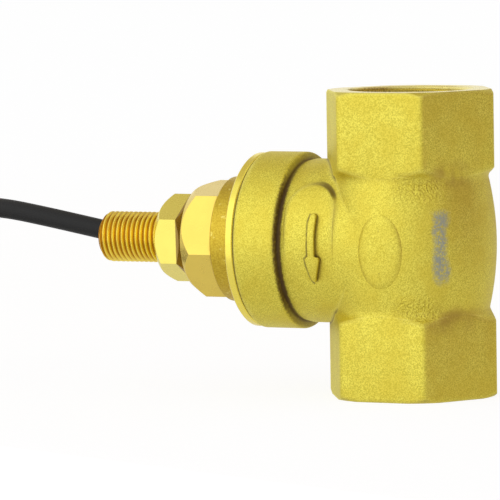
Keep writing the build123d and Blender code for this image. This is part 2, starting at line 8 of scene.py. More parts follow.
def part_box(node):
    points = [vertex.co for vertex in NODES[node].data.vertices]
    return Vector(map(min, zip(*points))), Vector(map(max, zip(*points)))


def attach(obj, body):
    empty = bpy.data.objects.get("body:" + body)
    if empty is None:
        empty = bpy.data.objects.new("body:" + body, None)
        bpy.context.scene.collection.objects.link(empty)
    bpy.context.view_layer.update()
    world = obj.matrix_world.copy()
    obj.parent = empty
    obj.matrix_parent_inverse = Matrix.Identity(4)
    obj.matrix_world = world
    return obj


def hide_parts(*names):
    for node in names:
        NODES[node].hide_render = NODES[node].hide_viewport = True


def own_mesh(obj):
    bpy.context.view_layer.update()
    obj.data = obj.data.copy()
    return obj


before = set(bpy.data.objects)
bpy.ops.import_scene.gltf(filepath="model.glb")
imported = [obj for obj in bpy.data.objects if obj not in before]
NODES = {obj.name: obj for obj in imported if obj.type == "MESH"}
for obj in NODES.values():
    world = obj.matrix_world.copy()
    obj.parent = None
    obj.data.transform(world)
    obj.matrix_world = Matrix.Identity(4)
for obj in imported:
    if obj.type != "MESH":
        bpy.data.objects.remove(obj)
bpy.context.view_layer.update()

# Looks of a brass water flow switch: threads, raised marks, cable, finishes, light and camera.
# Lengths are metres in the part's own frame: the outlet mouth is the origin, +Z runs up the pipe
# axis and the branch runs along -X. "Out" is the distance from the pipe axis along the branch.
MM = 0.001

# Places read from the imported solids
AXIS_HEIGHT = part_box("valve_body")[1].z / 2
BODY_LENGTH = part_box("valve_body")[1].z
TUBE_START = -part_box("sensor_tube")[1].x
TUBE_END = -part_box("sensor_tube")[0].x
TUBE_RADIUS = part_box("sensor_tube")[1].y
POTTING_START = -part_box("potting")[1].x
POTTING_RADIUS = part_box("potting")[1].y
NUT_START = -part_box("lock_nut")[1].x
NUT_END = -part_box("lock_nut")[0].x
SEAT_OUT = -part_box("bonnet_gasket")[0].x

# Threads: pitch and the depth from crest to root
PIPE_PITCH = 25.4 / 11 * MM
PIPE_THREAD_DEPTH = 1.479 * MM
PIPE_MINOR_RADIUS = 15.145 * MM
PIPE_THREAD_LENGTH = 16.0 * MM
TUBE_PITCH = 25.4 / 19 * MM
TUBE_THREAD_DEPTH = 0.856 * MM
THREAD_CLEARANCE = 0.05 * MM
# One pitch of a rounded 55 degree thread, from root to root: share of the pitch, share of the depth
THREAD_SHAPE = ((0, 0), (0.07, 0.04), (0.14, 0.14), (0.36, 0.86), (0.43, 0.96),
                (0.5, 1), (0.57, 0.96), (0.64, 0.86), (0.86, 0.14), (0.93, 0.04), (1, 0))
SPARE_PITCHES = 1.5
ROD_STEPS = 72
PORT_STEPS = 96

# Points closer than this are merged
WELD = 0.001 * MM
THREAD_WELD = 0.002 * MM

# Camera, as the photograph was taken
CAMERA_AZIMUTH = radians(24.732)
CAMERA_ELEVATION = radians(4.638)
CAMERA_ROLL = radians(-0.939)
CAMERA_DISTANCE = 1.2718
CAMERA_RIGHT = 0.041031
CAMERA_UP = 0.002032
CAMERA_LENS = 360.0
CAMERA_SENSOR = 36.0
CAMERA_SEES = (0.05, 60.0)


# Modelling

def deselect():
    bpy.ops.object.select_all(action="DESELECT")


def activate(piece):
    deselect()
    piece.select_set(True)
    bpy.context.view_layer.objects.active = piece


def primitive(name, operator, **sizes):
    """Adds a primitive with nothing else selected and applies its place, turn and scale."""
    deselect()
    operator(**sizes)
    piece = bpy.context.object
    piece.name = name
    piece.data.name = name
    bpy.ops.object.transform_apply(location=True, rotation=True, scale=True)
    return piece


def apply_modifier(piece, kind, **settings):
    activate(piece)
    modifier = piece.modifiers.new(kind.lower(), kind)
    for name, value in settings.items():
        setattr(modifier, name, value)
    bpy.ops.object.modifier_apply(modifier=modifier.name)


def cut(piece, tool, operation="DIFFERENCE"):
    """Cuts a piece with a tool, or keeps what both share, and removes the tool."""
    apply_modifier(piece, "BOOLEAN", object=tool, operation=operation, solver="EXACT")
    bpy.data.objects.remove(tool)


def rod_along_x(name, start, end, radius, sides=96):
    """A rod on the branch axis between two distances out."""
    return primitive(name, bpy.ops.mesh.primitive_cylinder_add, vertices=sides, radius=radius,
                     depth=end - start, location=(-(start + end) / 2, 0, AXIS_HEIGHT),
                     rotation=(0, -pi / 2, 0))


def frustum_along_x(name, start, end, start_radius, end_radius, sides=128):
    return primitive(name, bpy.ops.mesh.primitive_cone_add, vertices=sides, radius1=start_radius,
                     radius2=end_radius, depth=end - start,
                     location=(-(start + end) / 2, 0, AXIS_HEIGHT), rotation=(0, -pi / 2, 0))


def edit(piece, select_mode="VERT"):
    activate(piece)
    bpy.ops.object.mode_set(mode="EDIT")
    bpy.ops.mesh.select_mode(type=select_mode)
    bpy.ops.mesh.select_all(action="SELECT")


def leave_edit():
    bpy.ops.object.mode_set(mode="OBJECT")


def edit_where(piece, mode, parts, wanted):
    """Starts an edit in which only the edges or polygons that pass a test are selected."""
    edit(piece, mode)
    bpy.ops.mesh.select_all(action="DESELECT")
    leave_edit()
    for part in getattr(piece.data, parts):
        part.select = wanted(part)
    bpy.ops.object.mode_set(mode="EDIT")


def drawn_line(name, points):
    """A line drawn from its first point by extruding its last vertex from point to point."""
    line = primitive(name, bpy.ops.mesh.primitive_plane_add, size=MM, location=points[0])
    edit(line)
    bpy.ops.mesh.merge(type="CENTER")
    for before, after in zip(points, points[1:]):
        step = Vector(after) - Vector(before)
        bpy.ops.mesh.extrude_vertices_move(TRANSFORM_OT_translate={"value": step})
    leave_edit()
    return line


def thread_profile(pitch, crest, depth):
    """One pitch of a thread as (along, radius)."""
    return [(along * pitch, crest - depth + rise * depth) for along, rise in THREAD_SHAPE]


def threaded_rod(name, pitch, crest, depth, length, steps=ROD_STEPS):
    """A solid rod along +X from the origin with a right-hand thread, cut flat at both ends."""
    profile = thread_profile(pitch, crest, depth)
    rod = drawn_line(name, [(along, 0, radius) for along, radius in profile])
    spare = SPARE_PITCHES * pitch
    apply_modifier(rod, "SCREW", axis="X", angle=2 * pi, screw_offset=pitch,
                   iterations=int(length / pitch) + int(2 * SPARE_PITCHES),
                   steps=steps, render_steps=steps, use_merge_vertices=True)
    edit(rod)
    bpy.ops.mesh.remove_doubles(threshold=THREAD_WELD)
    for place, normal in ((spare, -1), (spare + length, 1)):
        bpy.ops.mesh.select_all(action="SELECT")
        bpy.ops.mesh.bisect(plane_co=(place, 0, 0), plane_no=(normal, 0, 0),
                            use_fill=True, clear_outer=True)
    bpy.ops.mesh.select_all(action="SELECT")
    bpy.ops.mesh.normals_make_consistent(inside=False)
    leave_edit()
    rod.data.transform(Matrix.Translation((-spare, 0, 0)))
    return rod


def smooth(piece, angle=30):
    activate(piece)
    bpy.ops.object.shade_smooth_by_angle(angle=radians(angle))


def copy_of(node, name):
    """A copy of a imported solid's mesh with its loose triangles merged."""
    piece = bpy.data.objects.new(name, NODES[node].data.copy())
    piece.data.name = name
    bpy.context.scene.collection.objects.link(piece)
    edit(piece)
    bpy.ops.mesh.remove_doubles(threshold=WELD)
    bpy.ops.mesh.customdata_custom_splitnormals_clear()
    leave_edit()
    return piece


def make_threaded_body():
    """The cast body with its pipe threads cut in both ports."""
    body = copy_of("valve_body", "threaded_body")
    for mouth, way in ((0, 1), (BODY_LENGTH, -1)):
        length = PIPE_THREAD_LENGTH + PIPE_PITCH
        tool = threaded_rod("port_tap", PIPE_PITCH, PIPE_MINOR_RADIUS + PIPE_THREAD_DEPTH,
                            PIPE_THREAD_DEPTH + THREAD_CLEARANCE, length, steps=PORT_STEPS)
        turn = Matrix.Rotation(-pi / 2 * way, 4, "Y")
        tool.data.transform(Matrix.Translation((0, 0, mouth - way * PIPE_PITCH)) @ turn)
        cut(body, tool)
    smooth(body)
    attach(body, "body")
    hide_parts("valve_body")
    return body


TUBE_MOUTH_ROUNDING = 1.7 * MM
TUBE_NOSE_CHAMFER = 0.8 * MM
TUBE_MOUTH_DEPTH = 0.4 * MM
TUBE_MOUTH_SPREAD = 0.3 * MM


def bevel_ring(piece, place, size, segments):
    """Bevels the round edge of a rod that lies in the plane X = place."""
    def in_plane(edge):
        return all(abs(piece.data.vertices[i].co.x - place) < 0.01 * MM for i in edge.vertices)
    edit_where(piece, "EDGE", "edges", in_plane)
    bpy.ops.mesh.bevel(offset=size, segments=segments, profile=0.5, affect="EDGES")
    leave_edit()


def make_threaded_tube():
    """The sensor tube: threaded all along, rounded at its mouth, bored out for the resin."""
    tube = threaded_rod("threaded_tube", TUBE_PITCH, TUBE_RADIUS, TUBE_THREAD_DEPTH,
                        TUBE_END - TUBE_START)
    tube.data.transform(Matrix.Translation((-TUBE_END, 0, AXIS_HEIGHT)))
    envelope = rod_along_x("envelope", TUBE_START, TUBE_END, TUBE_RADIUS)
    bevel_ring(envelope, -TUBE_END, TUBE_MOUTH_ROUNDING, 6)
    bevel_ring(envelope, -TUBE_START, TUBE_NOSE_CHAMFER, 1)
    cut(tube, envelope, "INTERSECT")
    cut(tube, rod_along_x("bore", POTTING_START, TUBE_END + MM, POTTING_RADIUS))
    cut(tube, frustum_along_x("mouth", TUBE_END - TUBE_MOUTH_DEPTH, TUBE_END + TUBE_MOUTH_DEPTH,
                              POTTING_RADIUS - TUBE_MOUTH_SPREAD, POTTING_RADIUS + TUBE_MOUTH_SPREAD))
    smooth(tube)
    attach(tube, "body")
    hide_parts("sensor_tube")
    return tube


NUT_ACROSS_FLATS = 19.8 * MM
NUT_CORNER_ANGLE = radians(28.1)
# Radius of the round face and angle of the cone chamfer: towards the bonnet, towards the mouth
NUT_CHAMFERS = ((9.4 * MM, radians(29)), (9.7 * MM, radians(44)))
NUT_SINK_DEPTH = 0.5 * MM
NUT_SINK_RADII = (TUBE_RADIUS - 0.35 * MM, TUBE_RADIUS + 0.65 * MM)


def make_nut():
    """The lock nut: a hexagon with cone chamfers at both faces and its thread."""
    corner = NUT_ACROSS_FLATS / 2 / cos(pi / 6)
    nut = rod_along_x("threaded_nut", NUT_START, NUT_END, corner, sides=6)
    turn = Matrix.Rotation(nut_turn(nut, NUT_CORNER_ANGLE), 4, "X")
    centre = Matrix.Translation((0, 0, AXIS_HEIGHT))
    nut.data.transform(centre @ turn @ centre.inverted())
    length = NUT_END - NUT_START
    for (face_radius, angle), at_start in zip(NUT_CHAMFERS, (True, False)):
        radii = (face_radius, face_radius + length / tan(angle))
        cut(nut, frustum_along_x("chamfer", NUT_START, NUT_END, *(radii if at_start else radii[::-1])),
            "INTERSECT")
    thread = threaded_rod("nut_tap", TUBE_PITCH, TUBE_RADIUS + THREAD_CLEARANCE, TUBE_THREAD_DEPTH,
                          length + 3 * TUBE_PITCH)
    shift = round((TUBE_END - NUT_END) / TUBE_PITCH) * TUBE_PITCH - TUBE_PITCH
    thread.data.transform(Matrix.Translation((-TUBE_END + shift, 0, AXIS_HEIGHT)))
    cut(nut, thread)
    for place, radii in ((NUT_START, NUT_SINK_RADII[::-1]), (NUT_END, NUT_SINK_RADII)):
        cut(nut, frustum_along_x("countersink", place - NUT_SINK_DEPTH, place + NUT_SINK_DEPTH, *radii))
    smooth(nut, 20)
    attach(nut, "body")
    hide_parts("lock_nut")
    return nut


def nut_turn(nut, wanted):
    """How far the new hexagon turns so that a corner stands at the wanted angle from the front."""
    found = min((v.co for v in nut.data.vertices), key=lambda p: p.y)
    now = atan2(found.z - AXIS_HEIGHT, -found.y)
    return now - wanted


# Raised marks on the casting

NECK_RADIUS = 21.0 * MM
PAD_RADIUS = 21.25 * MM
PAD_SLOPE = 1.2 * MM
PAD_OUT = 19.4 * MM
PAD_ARCH_HEIGHT = 9.0 * MM
PAD_ARCH_RADIUS = 6.6 * MM
BARREL_RADIUS = 21.75 * MM
BARREL_ARC_RADIUS = 73.4 * MM
ARROW_RISE = 1.2 * MM
ARROW_SINK = 0.3 * MM
ARROW_EDGE = 0.22 * MM
ARROW_LEVELS = range(-8, 9)
ARROW_OUTLINE = ((-18.5, 8.3), (-19.1, 6.3), (-19.2, -2.4), (-20.05, -2.9), (-19.9, -4.2),
                 (-18.9, -8.3), (-18.3, -9.0), (-17.8, -8.6), (-16.2, -3.3), (-16.3, -2.6),
                 (-17.4, -2.4), (-17.35, 3.0), (-17.0, 7.9), (-17.5, 8.5))
# Where the dark line at the arrow's foot runs: part dirt, part painted shade
ARROW_DIRT_AND_SHADE_LINE = ((-19.1, 8.2), (-19.65, 6.3), (-19.8, -2.3), (-20.65, -2.9),
                   (-20.5, -4.4), (-19.45, -8.4), (-18.8, -9.3))


def neck_front(height):
    """How far in front of the axis the neck, or the pad on it, lies at a height above the axis."""
    pad = sqrt(PAD_RADIUS ** 2 - (height - PAD_SLOPE) ** 2)
    return max(pad, sqrt(NECK_RADIUS ** 2 - height ** 2))


def barrel_front(across, height):
    """How far in front of the pipe axis the barrel lies."""
    radius = BARREL_RADIUS - BARREL_ARC_RADIUS + sqrt(BARREL_ARC_RADIUS ** 2 - height ** 2)
    return sqrt(radius ** 2 - across ** 2)


def make_arrow():
    """The raised flow arrow: drawn flat, given its thickness and soft edges, then laid on the neck."""
    arrow = drawn_line("flow_arrow", [(x * MM, 0, z * MM) for x, z in ARROW_OUTLINE])
    edit(arrow)
    bpy.ops.mesh.edge_face_add()
    bpy.ops.mesh.select_all(action="SELECT")
    thickness = (0, -(ARROW_RISE + ARROW_SINK), 0)
    bpy.ops.mesh.extrude_region_move(TRANSFORM_OT_translate={"value": thickness})
    bpy.ops.mesh.select_all(action="SELECT")
    bpy.ops.mesh.normals_make_consistent(inside=False)
    leave_edit()
    apply_modifier(arrow, "BEVEL", width=ARROW_EDGE, segments=3, limit_method="ANGLE")
    edit(arrow)
    for level in ARROW_LEVELS:
        bpy.ops.mesh.select_all(action="SELECT")
        bpy.ops.mesh.bisect(plane_co=(0, 0, level * MM), plane_no=(0, 0, 1))
    leave_edit()
    for vertex in arrow.data.vertices:
        height, rise = vertex.co.z, -vertex.co.y - ARROW_SINK
        vertex.co.y = -neck_front(height) - rise
        vertex.co.z = AXIS_HEIGHT + height
    smooth(arrow, 40)
    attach(arrow, "body")
    return arrow


OVAL_CENTRE = (0.3 * MM, -0.9 * MM)
OVAL_HALF_WIDTH = 6.0 * MM
OVAL_HALF_HEIGHT = 9.5 * MM
OVAL_RISE = 0.45 * MM
OVAL_BACK = 0.5 * MM
OVAL_LIE = 0.06 * MM
OVAL_RIM = 1.05 * MM
OVAL_RINGS = (0.35 * MM,) * 3 + (0.8 * MM,) * 4


def make_oval_pad():
    """The blank oval pad on the barrel: a disc with soft rim rings, laid on the bulged side."""
    pad = primitive("oval_pad", bpy.ops.mesh.primitive_cylinder_add, vertices=72, radius=1,
                    depth=1, rotation=(pi / 2, 0, 0),
                    scale=(OVAL_HALF_WIDTH, OVAL_HALF_HEIGHT, MM))
    edit_where(pad, "FACE", "polygons", lambda face: face.normal.y < -0.9)
    for width in OVAL_RINGS:
        bpy.ops.mesh.inset(thickness=width, depth=0)
    bpy.ops.mesh.poke()
    leave_edit()
    for vertex in pad.data.vertices:
        across, height = vertex.co.x, vertex.co.z
        radius = sqrt((across / OVAL_HALF_WIDTH) ** 2 + (height / OVAL_HALF_HEIGHT) ** 2)
        inwards = min(1, (1 - radius) * OVAL_HALF_WIDTH / OVAL_RIM)
        rise = OVAL_RISE * sin(inwards * pi / 2) if vertex.co.y < 0 else -OVAL_BACK
        x, z = OVAL_CENTRE[0] + across, OVAL_CENTRE[1] + height
        vertex.co = (x, -barrel_front(x, z) - rise + OVAL_LIE, AXIS_HEIGHT + z)
    smooth(pad, 60)
    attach(pad, "body")
    return pad


def let_spring_give():
    """The return spring gets a mesh of its own."""
    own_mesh(NODES["return_spring"])


# Cable

CABLE_RADIUS = 2.6 * MM
COIL_FAR_OUT = 210.0 * MM
COIL_NEAR_OUT = 166.0 * MM
COIL_LANES = (20.8 * MM, 15.4 * MM)
COIL_CORNERS = 6
CABLE_ROUTE = [(x * MM, y * MM, z * MM) for x, y, z in (
    (-84.0, 0.3, 40.0),
    (-89.0, 0.5, 40.9),
    (-104.0, 1.4, 43.6),
    (-119.0, 3.0, 45.9),
    (-134.0, 5.8, 45.8),
    (-148.6, 9.4, 40.2),
    (-160.2, 13.0, 29.8),
    (-170.0, 16.0, 18.2),
    (-180.5, 18.8, 8.8),
    (-191.5, 20.5, 4.0),
    (-201.5, 20.8, 2.6),
    (-210.0, 20.8, 2.6),
)]
TIE_WIDTH = 3.5 * MM
TIE_ROUNDING = 2.2 * MM
TIE_THICKNESS = 0.45 * MM
TIE_EDGE = 0.12 * MM
TIE_SLACK = 0.3 * MM


def coil_points():
    """The put-away turns: two lanes of an oblong, with the way from the outer to the inner one."""
    points = []
    step = pi / COIL_CORNERS
    for lane, radius in enumerate(COIL_LANES):
        corner = radius / cos(step / 2)
        for centre, first in ((-COIL_FAR_OUT, pi / 2), (-COIL_NEAR_OUT, -pi / 2)):
            for k in range(COIL_CORNERS):
                angle = first + (k + 0.5) * step
                points.append((centre + corner * cos(angle), corner * sin(angle), CABLE_RADIUS))
            side = -radius if centre == -COIL_FAR_OUT else radius
            points.append((centre, side, CABLE_RADIUS))
        if lane == 0:
            inner = COIL_LANES[1]
            points += [(-COIL_NEAR_OUT - 10 * MM, radius - 1.2 * MM, CABLE_RADIUS),
                       (-COIL_NEAR_OUT - 24 * MM, inner + 0.2 * MM, CABLE_RADIUS),
                       (-COIL_FAR_OUT, inner, CABLE_RADIUS)]
        else:
            points[-1] = (-COIL_NEAR_OUT, radius, CABLE_RADIUS)
    return points


def make_cable():
    """The cable on one smooth line. Its points hold its radius, because they also set its box."""
    curve = bpy.data.curves.new("cable_line", "CURVE")
    curve.dimensions = "3D"
    curve.bevel_depth = 1.0
    curve.bevel_resolution = 6
    curve.use_fill_caps = True
    curve.resolution_u = 10
    spline = curve.splines.new("NURBS")
    points = CABLE_ROUTE + coil_points()
    spline.points.add(len(points) - 1)
    for place, point in zip(spline.points, points):
        place.co = (*point, 1)
        place.radius = CABLE_RADIUS
    spline.order_u = 3
    spline.use_endpoint_u = True
    cable = bpy.data.objects.new("cable_line", curve)
    bpy.context.scene.collection.objects.link(cable)
    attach(cable, "body")
    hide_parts("cable", "cable_coil")
    return cable


def make_tie():
    """The tie that holds two runs of the put-away turns together."""
    middle = -(COIL_LANES[0] + COIL_LANES[1]) / 2
    width = COIL_LANES[0] - COIL_LANES[1] + 2 * CABLE_RADIUS + TIE_SLACK
    tie = primitive("cable_tie", bpy.ops.mesh.primitive_cube_add, size=1,
                    location=(-(COIL_FAR_OUT + COIL_NEAR_OUT) / 2, middle, CABLE_RADIUS + 0.2 * MM),
                    scale=(TIE_WIDTH, width, 2 * CABLE_RADIUS - TIE_SLACK))
    edit_where(tie, "FACE", "polygons", lambda face: abs(face.normal.x) > 0.9)
    bpy.ops.mesh.delete(type="FACE")
    leave_edit()

    def along_branch(edge):
        ends = [tie.data.vertices[i].co.x for i in edge.vertices]
        return abs(ends[0] - ends[1]) > MM
    edit_where(tie, "EDGE", "edges", along_branch)
    bpy.ops.mesh.bevel(offset=TIE_ROUNDING, segments=6, profile=0.5, affect="EDGES")
    leave_edit()
    apply_modifier(tie, "SOLIDIFY", thickness=TIE_THICKNESS, offset=1)
    apply_modifier(tie, "BEVEL", width=TIE_EDGE, segments=2, limit_method="ANGLE")
    smooth(tie, 40)
    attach(tie, "body")
    return tie


# Shader building

def linear(*colour):
    """A colour written as 0 to 255 screen values, for a socket."""
    def channel(value):
        value /= 255
        return value / 12.92 if value <= 0.04045 else ((value + 0.055) / 1.055) ** 2.4
    return (*[channel(value) for value in colour], 1)


def add(tree, kind, inputs=(), **settings):
    """Adds a node, sets its settings, and joins or sets its inputs by name or number."""
    made = tree.nodes.new(kind)
    for name, value in settings.items():
        setattr(made, name, value)
    for socket, value in dict(inputs).items():
        if isinstance(value, bpy.types.NodeSocket):
            tree.links.new(value, made.inputs[socket])
        else:
            made.inputs[socket].default_value = value
    return made


def math(tree, operation, *values, clamp=False):
    made = add(tree, "ShaderNodeMath", dict(enumerate(values)), operation=operation, use_clamp=clamp)
    return made.outputs[0]


def times(tree, *values):
    return reduce(lambda product, value: math(tree, "MULTIPLY", product, value), values)


def highest(tree, *values):
    return reduce(lambda found, value: math(tree, "MAXIMUM", found, value), values)


def hypotenuse(tree, aside, above):
    return math(tree, "SQRT", math(tree, "ADD", times(tree, aside, aside), times(tree, above, above)))


def fade(tree, value, low, high, to_low=0.0, to_high=1.0):
    """A smooth step of a value between two levels."""
    made = add(tree, "ShaderNodeMapRange", {"Value": value, "From Min": low, "From Max": high,
                                            "To Min": to_low, "To Max": to_high},
               interpolation_type="SMOOTHSTEP")
    return made.outputs["Result"]


def fall(tree, value, low, high):
    """A smooth step from 1 down to 0."""
    return fade(tree, value, low, high, 1.0, 0.0)


def between(tree, value, low, high, soft):
    rise = fade(tree, value, low - soft, low + soft)
    return times(tree, rise, fall(tree, value, high - soft, high + soft))


def blend_colour(tree, share, first, second):
    made = add(tree, "ShaderNodeMix", data_type="RGBA")
    sockets = {s.identifier: s for s in made.inputs}
    for socket, value in (("Factor_Float", share), ("A_Color", first), ("B_Color", second)):
        if isinstance(value, bpy.types.NodeSocket):
            tree.links.new(value, sockets[socket])
        else:
            sockets[socket].default_value = value
    return {s.identifier: s for s in made.outputs}["Result_Color"]


def tint(tree, colour, mask, strength, over):
    """A colour with a screen colour laid over it where a mask is, as strongly as given."""
    return blend_colour(tree, times(tree, mask, strength), colour, linear(*over))


def darker(colour, share):
    return [value * share for value in colour]


def noise(tree, place, size, detail=2.0, roughness=0.5):
    """Noise whose blotches are about size metres across, from 0 to 1."""
    made = add(tree, "ShaderNodeTexNoise", {"Vector": place, "Scale": 1 / size, "Detail": detail,
                                            "Roughness": roughness})
    return made.outputs["Fac"]


def axes_of(tree, place):
    split = add(tree, "ShaderNodeSeparateXYZ", {0: place})
    return [split.outputs[i] for i in range(3)]


def facing(tree, where):
    """1 on the front of the part, where the arrow and the pads are, and 0 behind."""
    return fade(tree, axes_of(tree, where["Position"])[1], -2 * MM, -6 * MM)


def new_group(name, inputs, outputs):
    group = bpy.data.node_groups.new(name, "ShaderNodeTree")
    for label, kind, value in inputs:
        socket = group.interface.new_socket(label, in_out="INPUT", socket_type=kind)
        socket.default_value = value
    for label, kind in outputs:
        group.interface.new_socket(label, in_out="OUTPUT", socket_type=kind)
    start = group.nodes.new("NodeGroupInput")
    end = group.nodes.new("NodeGroupOutput")
    return group, start, end


def give(group, end, *results):
    """Joins a group's results to its outputs in their order."""
    for socket, value in zip(end.inputs, results):
        group.links.new(value, socket)


def place_group():
    """Where a point of the part lies: out along the branch, and its distance from both axes."""
    group, _, end = new_group("place_on_part", [], [
        ("Out", "NodeSocketFloat"), ("Branch Radius", "NodeSocketFloat"), ("Pipe Radius", "NodeSocketFloat"),
        ("Height", "NodeSocketFloat"), ("Position", "NodeSocketVector")])
    place = add(group, "ShaderNodeTexCoord").outputs["Object"]
    x, y, z = axes_of(group, place)
    height = math(group, "SUBTRACT", z, AXIS_HEIGHT)
    give(group, end, times(group, x, -1.0), hypotenuse(group, y, height), hypotenuse(group, x, y),
         height, place)
    return group


# Three noises of a casting's skin: share of the grit's fineness, detail, roughness
GRAIN_LAYERS = ((1.0, 3.0, 0.6), (0.3, 2.0, 0.5), (0.045, 2.0, 0.5))


def grain_group():
    """The skin of a blasted casting: fine grit, its speckle, and slow unevenness."""
    group, start, end = new_group("blasted_skin", [("Grain Size", "NodeSocketFloat", 0.35 * MM)], [
        ("Height", "NodeSocketFloat"), ("Speckle", "NodeSocketFloat"), ("Unevenness", "NodeSocketFloat")])
    place = add(group, "ShaderNodeTexCoord").outputs["Object"]
    fineness = math(group, "DIVIDE", 1.0, start.outputs["Grain Size"])
    grit, coarse, slow = [
        add(group, "ShaderNodeTexNoise", {"Vector": place, "Scale": times(group, fineness, share),
                                          "Detail": detail, "Roughness": roughness}).outputs["Fac"]
        for share, detail, roughness in GRAIN_LAYERS]
    height = math(group, "ADD", times(group, grit, 0.65), times(group, coarse, 0.6))
    give(group, end, height, fade(group, grit, 0.36, 0.64), fade(group, slow, 0.3, 0.7))
    return group


def edge_group():
    """A rounded normal along sharp edges, and a mask of where they are."""
    group, start, end = new_group("soft_edges", [("Radius", "NodeSocketFloat", 0.2 * MM)], [
        ("Edge", "NodeSocketFloat"), ("Normal", "NodeSocketVector")])
    soft = add(group, "ShaderNodeBevel", {"Radius": start.outputs["Radius"]}, samples=6).outputs["Normal"]
    true = add(group, "ShaderNodeNewGeometry").outputs["Normal"]
    alike = add(group, "ShaderNodeVectorMath", {0: soft, 1: true}, operation="DOT_PRODUCT")
    give(group, end, fall(group, alike.outputs["Value"], 0.85, 0.995), soft)
    return group


def corner_shade_group():
    """How deep in a corner or a crease a point lies, from 0 in the open to 1 in the corner: a mask for
    painted shade there.
    """
    group, start, end = new_group("painted_corner_shade", [("Reach", "NodeSocketFloat", 1.2 * MM)], [
        ("Corner Shade", "NodeSocketFloat")])
    open_sky = add(group, "ShaderNodeAmbientOcclusion", {"Distance": start.outputs["Reach"]}, samples=12)
    give(group, end, fall(group, open_sky.outputs["AO"], 0.45, 0.92))
    return group


def lathe_group():
    """Fine turning marks: rings along the branch and rings on faces across it."""
    group, start, end = new_group("turning_marks", [("Spacing", "NodeSocketFloat", 0.12 * MM)], [
        ("Height", "NodeSocketFloat")])
    where = add(group, "ShaderNodeGroup", node_tree=PLACE).outputs
    waves = []
    for direction in ("Out", "Branch Radius"):
        ring = math(group, "DIVIDE", where[direction], start.outputs["Spacing"])
        wave = add(group, "ShaderNodeTexNoise", {"W": ring, "Scale": 1.0, "Detail": 2.0},
                   noise_dimensions="1D")
        waves.append(wave.outputs["Fac"])
    give(group, end, math(group, "ADD", *waves))
    return group


PLACE = place_group()
GRAIN = grain_group()
EDGES = edge_group()
CORNER_SHADE = corner_shade_group()
LATHE = lathe_group()


class Finish:
    """A material with its node tree and its one shader."""

    def __init__(self, name):
        self.material = bpy.data.materials.new(name)
        self.material.use_nodes = True
        self.tree = self.material.node_tree
        self.shader = self.tree.nodes["Principled BSDF"]

    def set(self, **values):
        """Sets or joins shader sockets; a name's underscores stand for spaces."""
        for name, value in values.items():
            socket = self.shader.inputs[name.replace("_", " ")]
            if isinstance(value, bpy.types.NodeSocket):
                self.tree.links.new(value, socket)
            else:
                socket.default_value = value
        return self

    def group(self, group, **inputs):
        values = {name.replace("_", " "): value for name, value in inputs.items()}
        return add(self.tree, "ShaderNodeGroup", values, node_tree=group).outputs

    def bump(self, height, depth, strength, normal=None):
        inputs = {"Height": height, "Distance": depth, "Strength": strength}
        if normal is not None:
            inputs["Normal"] = normal
        return add(self.tree, "ShaderNodeBump", inputs).outputs["Normal"]


CAST_GRAIN = 0.30 * MM
CAST_PITS = (198, 184, 66)
CAST_PEAKS = (240, 229, 102)
# What lies over the casting's own colour, from first to last: how strongly, and its colour
CAST_LAYERS = {
    "uneven": (0.4, (212, 190, 62)),
    "edge": (0.55, (250, 240, 130)),
    # painted shade in corners and creases
    "corner_shade": (0.8, (120, 92, 26)),
    "shoulder": (1.0, (154, 114, 60)),
    # part dirt, part painted shade in the undercut
    "groove": (0.92, (84, 56, 14)),
    # painted shade along the pad's raised edge
    "arch": (0.8, (104, 78, 22)),
    "smear": (0.8, (146, 158, 164)),
    "machined": (1.0, (240, 226, 140)),
    # part dirt, part painted shade at the arrow's foot
    "arrow": (0.65, (112, 98, 16)),
}
# Layers that also dull the metal: a paint smear, and dark lines that are partly or wholly painted shade
DIRT_AND_SHADE = ("groove", "arch", "arrow", "smear")


def cast_brass(name, softness, soft_shoulder):
    """Blasted brass casting, machined at its end faces and bores, with painted shade in its corners, creases
    and along the pad's edge, and dark lines in the groove and by the arrow that are part dirt, part painted
    shade.
    """
    finish = Finish(name)
    tree = finish.tree
    where = finish.group(PLACE)
    skin = finish.group(GRAIN, Grain_Size=CAST_GRAIN)
    run_out = neck_run_out(tree, where)
    soft = times(tree, highest(tree, shoulders(tree, where), run_out), soft_shoulder - softness)
    edges = finish.group(EDGES, Radius=math(tree, "ADD", soft, softness))
    shade_kept = times(tree, fade(tree, where["Height"], 0.2 * MM - AXIS_HEIGHT, 1.5 * MM - AXIS_HEIGHT),
                  math(tree, "SUBTRACT", 1.0, run_out))
    # Painted shade in corners and creases, kept off the end faces and the neck's run-out
    corner_shade = times(tree, finish.group(CORNER_SHADE, Reach=1.4 * MM)["Corner Shade"], shade_kept)
    machined = machined_faces(tree, where)
    masks = {
        "uneven": skin["Unevenness"], "edge": edges["Edge"], "corner_shade": corner_shade,
        "shoulder": shoulder_stain(tree, where), "groove": groove_dirt_and_shade(tree, where),
        "arch": arch_shade_line(tree, where), "smear": paint_smear(tree, where),
        "machined": machined, "arrow": arrow_foot_dirt_and_shade(tree, where)}
    colour = blend_colour(tree, skin["Speckle"], linear(*CAST_PITS), linear(*CAST_PEAKS))
    for layer, (strength, over) in CAST_LAYERS.items():
        colour = tint(tree, colour, masks[layer], strength, over)

    dull = highest(tree, *[masks[layer] for layer in DIRT_AND_SHADE], times(tree, corner_shade, 0.6))
    rough = math(tree, "ADD", 0.5, times(tree, skin["Speckle"], 0.06))
    return finish.set(
        Base_Color=colour, Metallic=math(tree, "SUBTRACT", 1.0, times(tree, dull, 0.75)),
        Roughness=math(tree, "SUBTRACT", rough, times(tree, machined, 0.25)),
        Normal=finish.bump(cast_relief(tree, where, skin, machined), 0.12 * MM, 0.75,
                           edges["Normal"])).material


